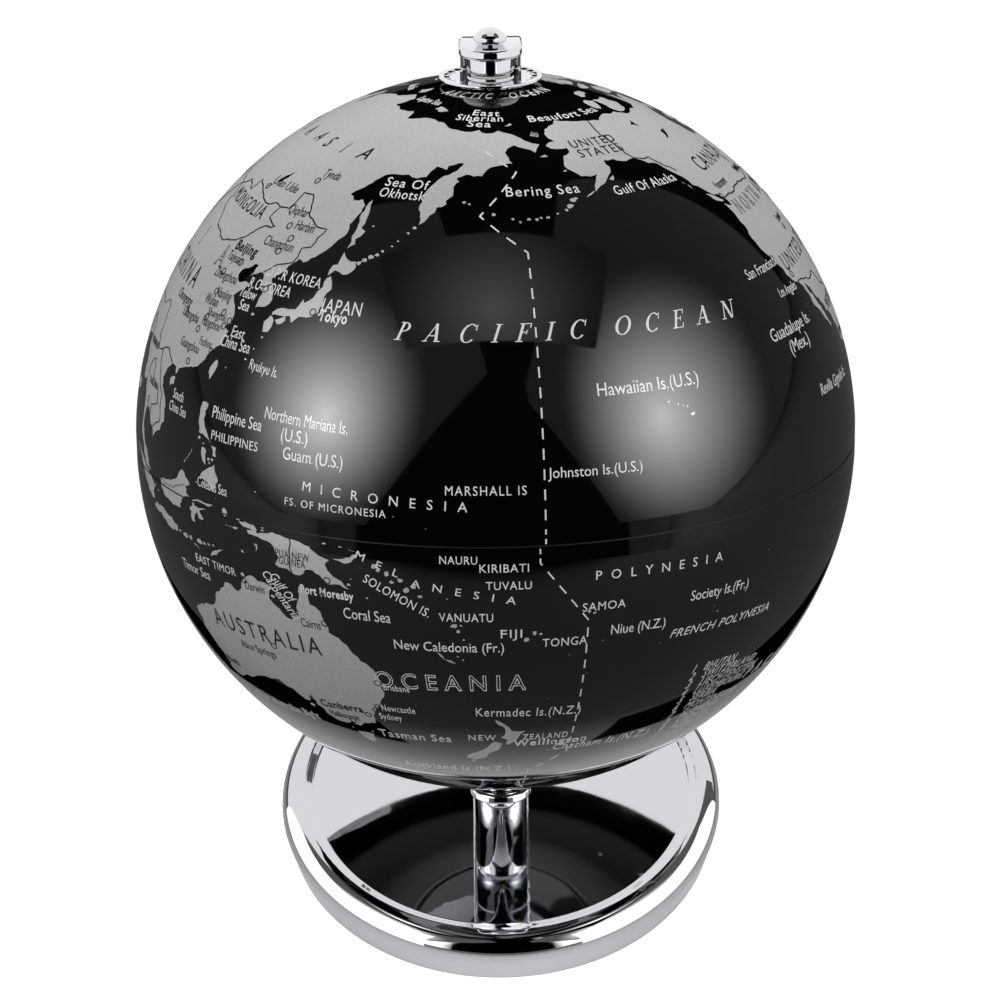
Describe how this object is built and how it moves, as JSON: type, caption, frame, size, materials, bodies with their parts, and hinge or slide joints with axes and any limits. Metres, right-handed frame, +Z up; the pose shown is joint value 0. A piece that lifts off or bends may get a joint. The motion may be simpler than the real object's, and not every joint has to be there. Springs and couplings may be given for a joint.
{
  "type": "desktop globe on stand",
  "caption": "Small world globe that spins on a leaning polar axis inside a C-shaped chrome arm, with a turning hour dial, on a post and a weighted round base.",
  "frame": {"origin": "centre of the foam pad's underside, where the base stands", "axes": "+Z up; +Y towards the arm's back, the side to which the north pole leans; +X to the right when the arm is behind the globe"},
  "size_m": [0.1398, 0.1466, 0.1838],
  "materials": {
    "base_shell": "mirror-polished chrome plate",
    "base_weight": "zinc-plated mild steel",
    "base_bottom_cover": "zinc-plated sheet",
    "foot_pad": "closed-cell foam sheet",
    "cover_screws": "zinc-plated",
    "post": "mirror-polished chrome plate",
    "post_bolt": "zinc-plated",
    "post_flat_washer": "zinc-plated",
    "post_spring_washer": "spring steel",
    "arm_screw": "chrome plate",
    "meridian_arm": "mirror-polished chrome plate",
    "north_pin": "bright steel",
    "north_spacer": "mirror-polished chrome plate",
    "north_cap_nut": "mirror-polished chrome plate",
    "dial_friction_washer": "natural nylon",
    "south_pin": "bright steel",
    "south_spacer": "mirror-polished chrome plate",
    "south_cap_nut": "mirror-polished chrome plate",
    "south_thrust_washer": "natural nylon",
    "north_hemisphere": "moulded polystyrene",
    "south_hemisphere": "moulded polystyrene",
    "joining_ring": "moulded polystyrene",
    "north_map_skin": "gloss lacquered print, black sea and silver land",
    "south_map_skin": "gloss lacquered print, black sea and silver land",
    "north_pole_bush": "moulded acetal",
    "south_pole_bush": "moulded acetal",
    "time_dial": "embossed chrome plate"
  },
  "bodies": {
    "stand": {"base_shell": "base_shell", "base_weight": "base_weight", "base_bottom_cover": "base_bottom_cover", "foot_pad": "foot_pad", "cover_screws": "cover_screws", "post": "post", "post_bolt": "post_bolt", "post_flat_washer": "post_flat_washer", "post_spring_washer": "post_spring_washer", "arm_screw": "arm_screw", "meridian_arm": "meridian_arm", "north_pin": "north_pin", "north_spacer": "north_spacer", "north_cap_nut": "north_cap_nut", "dial_friction_washer": "dial_friction_washer", "south_pin": "south_pin", "south_spacer": "south_spacer", "south_cap_nut": "south_cap_nut", "south_thrust_washer": "south_thrust_washer"},
    "globe": {"north_hemisphere": "north_hemisphere", "south_hemisphere": "south_hemisphere", "joining_ring": "joining_ring", "north_map_skin": "north_map_skin", "south_map_skin": "south_map_skin", "north_pole_bush": "north_pole_bush", "south_pole_bush": "south_pole_bush"},
    "dial": {"time_dial": "time_dial"}
  },
  "joints": [
    {"name": "globe_spin", "type": "hinge", "parent": "stand", "child": "globe", "pos_m": [0, 0, 0.1102], "axis": [0, 0.3987, 0.9171], "continuous": true},
    {"name": "dial_turn", "type": "hinge", "parent": "stand", "child": "dial", "pos_m": [0, 0, 0.1102], "axis": [0, 0.3987, 0.9171], "continuous": true}
  ]
}
